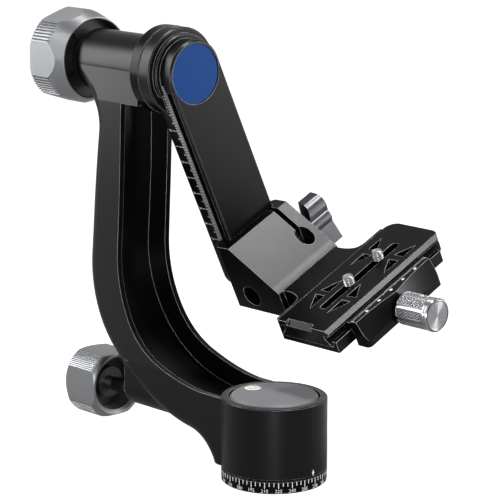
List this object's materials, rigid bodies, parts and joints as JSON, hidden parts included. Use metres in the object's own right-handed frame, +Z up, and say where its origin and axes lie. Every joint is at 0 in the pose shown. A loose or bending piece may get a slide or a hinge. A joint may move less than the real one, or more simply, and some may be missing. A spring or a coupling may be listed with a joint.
{
  "type": "gimbal tripod head",
  "caption": "Gimbal tripod head: a curved J-shaped arm on a panning hub, a swing arm on a tilt axle and a sliding cradle with a dovetail plate clamp.",
  "frame": {"origin": "centre of the tripod thread at the base's bottom face", "axes": "+Z up along the pan axis, X along the tilt axis from the tilt lock knob towards the swing arm's disc, +Y to the side that the plate swings to"},
  "size_m": [0.2347, 0.1286, 0.2353],
  "materials": {
    "black_anodised": "satin black anodised",
    "cap_grey": "matt grey anodised",
    "satin_silver": "satin silver anodised",
    "steel": "ground steel",
    "core_black": "matt black",
    "disc_blue": "gloss blue",
    "level": "gloss pale",
    "bush_plastic": "matt dark",
    "brake": "machined"
  },
  "bodies": {
    "stand": {"pan_base": "black_anodised", "tripod_insert": "steel", "pan_spindle": "steel", "spindle_screw_1": "steel", "spindle_screw_2": "steel", "spindle_screw_3": "steel", "pan_bearing_lower_inner": "steel", "pan_bearing_upper_inner": "steel", "spindle_nut": "steel"},
    "arm": {"j_arm": "black_anodised", "hub_cap": "cap_grey", "bubble_level": "level", "housing_collar": "black_anodised", "pan_bearing_lower_outer": "steel", "pan_bearing_upper_outer": "steel", "tilt_bearing_rear_outer": "steel", "tilt_bearing_front_outer": "steel", "pan_lock_bush": "bush_plastic"},
    "pan_shoe": {"pan_lock_shoe": "brake"},
    "pan_knob": {"pan_lock_knob": "satin_silver", "pan_lock_knob_core": "core_black", "pan_lock_rod": "steel"},
    "swing": {"swing_arm": "black_anodised", "arm_disc": "disc_blue", "tilt_axle": "steel", "axle_screw": "steel", "tilt_bearing_rear_inner": "steel", "tilt_bearing_front_inner": "steel", "friction_washer": "bush_plastic"},
    "tilt_washer": {"tilt_thrust_washer": "steel"},
    "tilt_knob": {"tilt_lock_knob": "satin_silver", "tilt_lock_knob_core": "core_black", "tilt_lock_nut": "steel"},
    "cradle": {"cradle_bracket": "black_anodised", "clamp_guide_pin_near": "steel", "clamp_guide_pin_far": "steel"},
    "wing": {"wing_knob": "satin_silver", "wing_knob_bolt": "steel"},
    "jaw": {"clamp_jaw": "black_anodised"},
    "clamp_turner": {"clamp_knob": "satin_silver", "clamp_washer": "steel", "clamp_screw": "steel"},
    "plate": {"lens_plate": "black_anodised"},
    "washer_near": {"lens_screw_washer_near": "steel"},
    "stud_near": {"lens_screw_near": "steel"},
    "washer_far": {"lens_screw_washer_far": "steel"},
    "stud_far": {"lens_screw_far": "steel"}
  },
  "joints": [
    {"name": "pan", "type": "hinge", "parent": "stand", "child": "arm", "pos_m": [0, 0, 0.0257], "axis": [0, 0, 1], "continuous": true},
    {"name": "pan_lock_travel", "type": "slide", "parent": "arm", "child": "pan_shoe", "axis": [-1, 0, 0], "range_m": [0, 0.0008]},
    {"name": "pan_lock", "type": "hinge", "parent": "pan_shoe", "child": "pan_knob", "pos_m": [-0.14, 0, 0.0257], "axis": [1, 0, 0], "range_deg": [0, 360]},
    {"name": "tilt", "type": "hinge", "parent": "arm", "child": "swing", "pos_m": [-0.0798, 0, 0.209], "axis": [1, 0, 0], "continuous": true},
    {"name": "tilt_lock_travel", "type": "slide", "parent": "swing", "child": "tilt_washer", "axis": [-1, 0, 0], "range_m": [0, 0.001]},
    {"name": "tilt_lock", "type": "hinge", "parent": "tilt_washer", "child": "tilt_knob", "pos_m": [-0.154, 0, 0.209], "axis": [1, 0, 0], "range_deg": [0, 360]},
    {"name": "cradle_height", "type": "slide", "parent": "swing", "child": "cradle", "axis": [0, -0.4269, 0.9043], "range_m": [0, 0.07]},
    {"name": "wing_lock", "type": "hinge", "parent": "cradle", "child": "wing", "pos_m": [-0.0476, 0.07752, 0.11975], "axis": [0, 0.9043, 0.4269], "range_deg": [0, 360]},
    {"name": "clamp_opening", "type": "slide", "parent": "cradle", "child": "jaw", "axis": [1, 0, 0], "range_m": [0, 0.0056]},
    {"name": "clamp_turn", "type": "hinge", "parent": "jaw", "child": "clamp_turner", "pos_m": [0.052, 0.05584, 0.09072], "axis": [1, 0, 0], "range_deg": [0, 2880]},
    {"name": "plate_slide", "type": "slide", "parent": "cradle", "child": "plate", "axis": [0, 0.9043, 0.4269], "range_m": [-0.02, 0.015]},
    {"name": "near_screw_slide", "type": "slide", "parent": "plate", "child": "washer_near", "axis": [0, 0.9043, 0.4269], "range_m": [-0.0175, 0.005]},
    {"name": "near_screw_turn", "type": "hinge", "parent": "washer_near", "child": "stud_near", "pos_m": [0.0099, 0.04643, 0.09822], "axis": [0, -0.4269, 0.9043], "continuous": true},
    {"name": "far_screw_slide", "type": "slide", "parent": "plate", "child": "washer_far", "axis": [0, 0.9043, 0.4269], "range_m": [-0.005, 0.0125]},
    {"name": "far_screw_turn", "type": "hinge", "parent": "washer_far", "child": "stud_far", "pos_m": [0.0099, 0.06841, 0.10859], "axis": [0, -0.4269, 0.9043], "continuous": true}
  ],
  "couplings": [
    {"joint": "pan_lock", "follows": "pan_lock_travel", "rad_per_m": 7854},
    {"joint": "tilt_lock", "follows": "tilt_lock_travel", "rad_per_m": 6283.2},
    {"joint": "clamp_turn", "follows": "clamp_opening", "rad_per_m": 8976}
  ]
}
